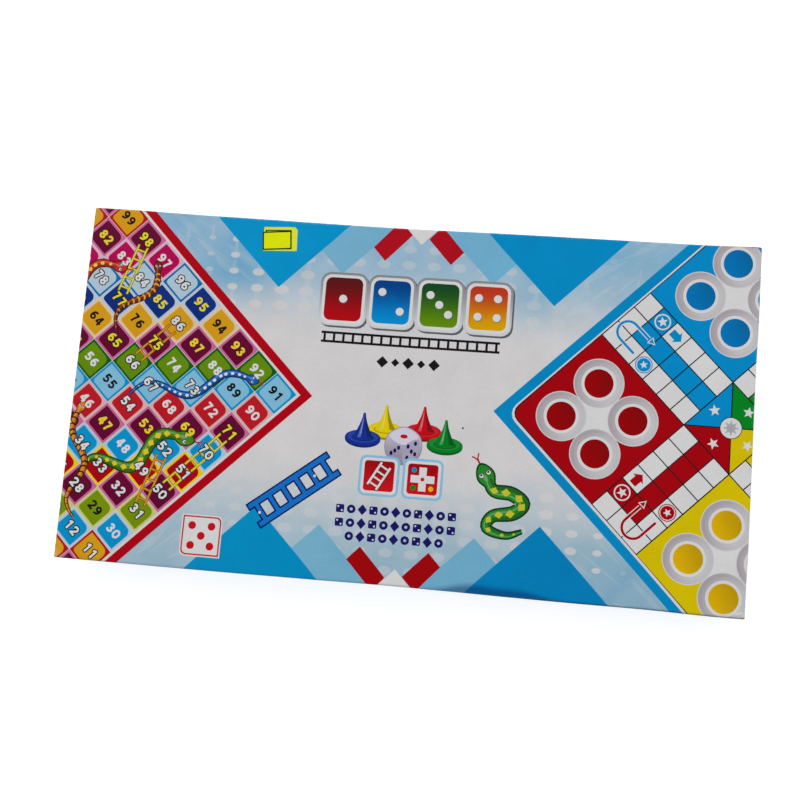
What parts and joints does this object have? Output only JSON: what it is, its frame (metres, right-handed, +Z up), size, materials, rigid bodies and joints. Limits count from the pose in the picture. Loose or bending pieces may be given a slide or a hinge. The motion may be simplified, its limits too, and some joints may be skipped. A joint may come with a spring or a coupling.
{
  "type": "boxed folding game board set",
  "caption": "Flat two-piece card box with a printed lid, holding a board that folds in two with a snakes and ladders face and a ludo face, plus loose pawns and a die on a card insert.",
  "frame": {"origin": "middle of the tray's underside, where the closed box stands", "axes": "+X along the box's long side, to the right as the lid is read; +Y to the rear; +Z up out of the lid"},
  "size_m": [0.276, 0.147, 0.0271],
  "materials": {
    "tray_card": "uncoated inside, white clay-coated outside, with a plain blue band",
    "insert_card": "uncoated duplex card",
    "lid_print": "printed card under a gloss film",
    "label_paper": "semi-gloss sticker paper",
    "greyboard": "bare greyboard edges",
    "snakes_print": "printed paper under a gloss film",
    "ludo_print": "printed paper under a gloss film",
    "binding_tape": "satin coated paper tape",
    "pawn_red": "glossy moulded plastic",
    "pawn_blue": "glossy moulded plastic",
    "pawn_green": "glossy moulded plastic",
    "pawn_yellow": "glossy moulded plastic",
    "die_plastic": "glossy moulded plastic",
    "pip_paint": "paint in the recesses"
  },
  "bodies": {
    "tray": {"tray_shell": "tray_card", "card_insert": "insert_card"},
    "lid": {"lid_shell": "lid_print", "price_label_under": "label_paper", "price_label_over": "label_paper"},
    "board_lower": {"board_core_lower": "greyboard", "snakes_sheet_lower": "snakes_print", "ludo_sheet_lower": "ludo_print", "edge_tape_lower": "binding_tape"},
    "board_upper": {"board_core_upper": "greyboard", "snakes_sheet_upper": "snakes_print", "ludo_sheet_upper": "ludo_print", "edge_tape_upper": "binding_tape"},
    "die": {"die_body": "die_plastic", "die_pips": "pip_paint"},
    "pawn_red_1": {"pawn_red_1": "pawn_red"},
    "pawn_red_2": {"pawn_red_2": "pawn_red"},
    "pawn_red_3": {"pawn_red_3": "pawn_red"},
    "pawn_red_4": {"pawn_red_4": "pawn_red"},
    "pawn_blue_1": {"pawn_blue_1": "pawn_blue"},
    "pawn_blue_2": {"pawn_blue_2": "pawn_blue"},
    "pawn_blue_3": {"pawn_blue_3": "pawn_blue"},
    "pawn_blue_4": {"pawn_blue_4": "pawn_blue"},
    "pawn_green_1": {"pawn_green_1": "pawn_green"},
    "pawn_green_2": {"pawn_green_2": "pawn_green"},
    "pawn_green_3": {"pawn_green_3": "pawn_green"},
    "pawn_green_4": {"pawn_green_4": "pawn_green"},
    "pawn_yellow_1": {"pawn_yellow_1": "pawn_yellow"},
    "pawn_yellow_2": {"pawn_yellow_2": "pawn_yellow"},
    "pawn_yellow_3": {"pawn_yellow_3": "pawn_yellow"},
    "pawn_yellow_4": {"pawn_yellow_4": "pawn_yellow"}
  },
  "joints": [
    {"name": "lid_lift", "type": "slide", "parent": "tray", "child": "lid", "axis": [0, 0, 1], "range_m": [0, 0.5]},
    {"name": "board_lift", "type": "slide", "parent": "tray", "child": "board_lower", "axis": [0, 0, 1], "range_m": [0, 0.07]},
    {"name": "board_fold", "type": "hinge", "parent": "board_lower", "child": "board_upper", "pos_m": [0, 0.06675, 0.02295], "axis": [-1, 0, 0], "range_deg": [0, 180]},
    {"name": "die_lift", "type": "slide", "parent": "tray", "child": "die", "axis": [0, 0, 1], "range_m": [0, 0.045]},
    {"name": "pawn_red_1_lift", "type": "slide", "parent": "tray", "child": "pawn_red_1", "axis": [0, 0, 1], "range_m": [0, 0.045]},
    {"name": "pawn_red_2_lift", "type": "slide", "parent": "tray", "child": "pawn_red_2", "axis": [0, 0, 1], "range_m": [0, 0.045]},
    {"name": "pawn_red_3_lift", "type": "slide", "parent": "tray", "child": "pawn_red_3", "axis": [0, 0, 1], "range_m": [0, 0.045]},
    {"name": "pawn_red_4_lift", "type": "slide", "parent": "tray", "child": "pawn_red_4", "axis": [0, 0, 1], "range_m": [0, 0.045]},
    {"name": "pawn_blue_1_lift", "type": "slide", "parent": "tray", "child": "pawn_blue_1", "axis": [0, 0, 1], "range_m": [0, 0.045]},
    {"name": "pawn_blue_2_lift", "type": "slide", "parent": "tray", "child": "pawn_blue_2", "axis": [0, 0, 1], "range_m": [0, 0.045]},
    {"name": "pawn_blue_3_lift", "type": "slide", "parent": "tray", "child": "pawn_blue_3", "axis": [0, 0, 1], "range_m": [0, 0.045]},
    {"name": "pawn_blue_4_lift", "type": "slide", "parent": "tray", "child": "pawn_blue_4", "axis": [0, 0, 1], "range_m": [0, 0.045]},
    {"name": "pawn_green_1_lift", "type": "slide", "parent": "tray", "child": "pawn_green_1", "axis": [0, 0, 1], "range_m": [0, 0.045]},
    {"name": "pawn_green_2_lift", "type": "slide", "parent": "tray", "child": "pawn_green_2", "axis": [0, 0, 1], "range_m": [0, 0.045]},
    {"name": "pawn_green_3_lift", "type": "slide", "parent": "tray", "child": "pawn_green_3", "axis": [0, 0, 1], "range_m": [0, 0.045]},
    {"name": "pawn_green_4_lift", "type": "slide", "parent": "tray", "child": "pawn_green_4", "axis": [0, 0, 1], "range_m": [0, 0.045]},
    {"name": "pawn_yellow_1_lift", "type": "slide", "parent": "tray", "child": "pawn_yellow_1", "axis": [0, 0, 1], "range_m": [0, 0.045]},
    {"name": "pawn_yellow_2_lift", "type": "slide", "parent": "tray", "child": "pawn_yellow_2", "axis": [0, 0, 1], "range_m": [0, 0.045]},
    {"name": "pawn_yellow_3_lift", "type": "slide", "parent": "tray", "child": "pawn_yellow_3", "axis": [0, 0, 1], "range_m": [0, 0.045]},
    {"name": "pawn_yellow_4_lift", "type": "slide", "parent": "tray", "child": "pawn_yellow_4", "axis": [0, 0, 1], "range_m": [0, 0.045]}
  ],
  "couplings": [
    {"joint": "board_lift", "follows": "lid_lift", "ratio": 0.14},
    {"joint": "board_fold", "follows": "lid_lift", "rad_per_m": 6.283},
    {"joint": "die_lift", "follows": "lid_lift", "ratio": 0.09},
    {"joint": "pawn_red_1_lift", "follows": "lid_lift", "ratio": 0.09},
    {"joint": "pawn_red_2_lift", "follows": "lid_lift", "ratio": 0.09},
    {"joint": "pawn_red_3_lift", "follows": "lid_lift", "ratio": 0.09},
    {"joint": "pawn_red_4_lift", "follows": "lid_lift", "ratio": 0.09},
    {"joint": "pawn_blue_1_lift", "follows": "lid_lift", "ratio": 0.09},
    {"joint": "pawn_blue_2_lift", "follows": "lid_lift", "ratio": 0.09},
    {"joint": "pawn_blue_3_lift", "follows": "lid_lift", "ratio": 0.09},
    {"joint": "pawn_blue_4_lift", "follows": "lid_lift", "ratio": 0.09},
    {"joint": "pawn_green_1_lift", "follows": "lid_lift", "ratio": 0.09},
    {"joint": "pawn_green_2_lift", "follows": "lid_lift", "ratio": 0.09},
    {"joint": "pawn_green_3_lift", "follows": "lid_lift", "ratio": 0.09},
    {"joint": "pawn_green_4_lift", "follows": "lid_lift", "ratio": 0.09},
    {"joint": "pawn_yellow_1_lift", "follows": "lid_lift", "ratio": 0.09},
    {"joint": "pawn_yellow_2_lift", "follows": "lid_lift", "ratio": 0.09},
    {"joint": "pawn_yellow_3_lift", "follows": "lid_lift", "ratio": 0.09},
    {"joint": "pawn_yellow_4_lift", "follows": "lid_lift", "ratio": 0.09}
  ]
}
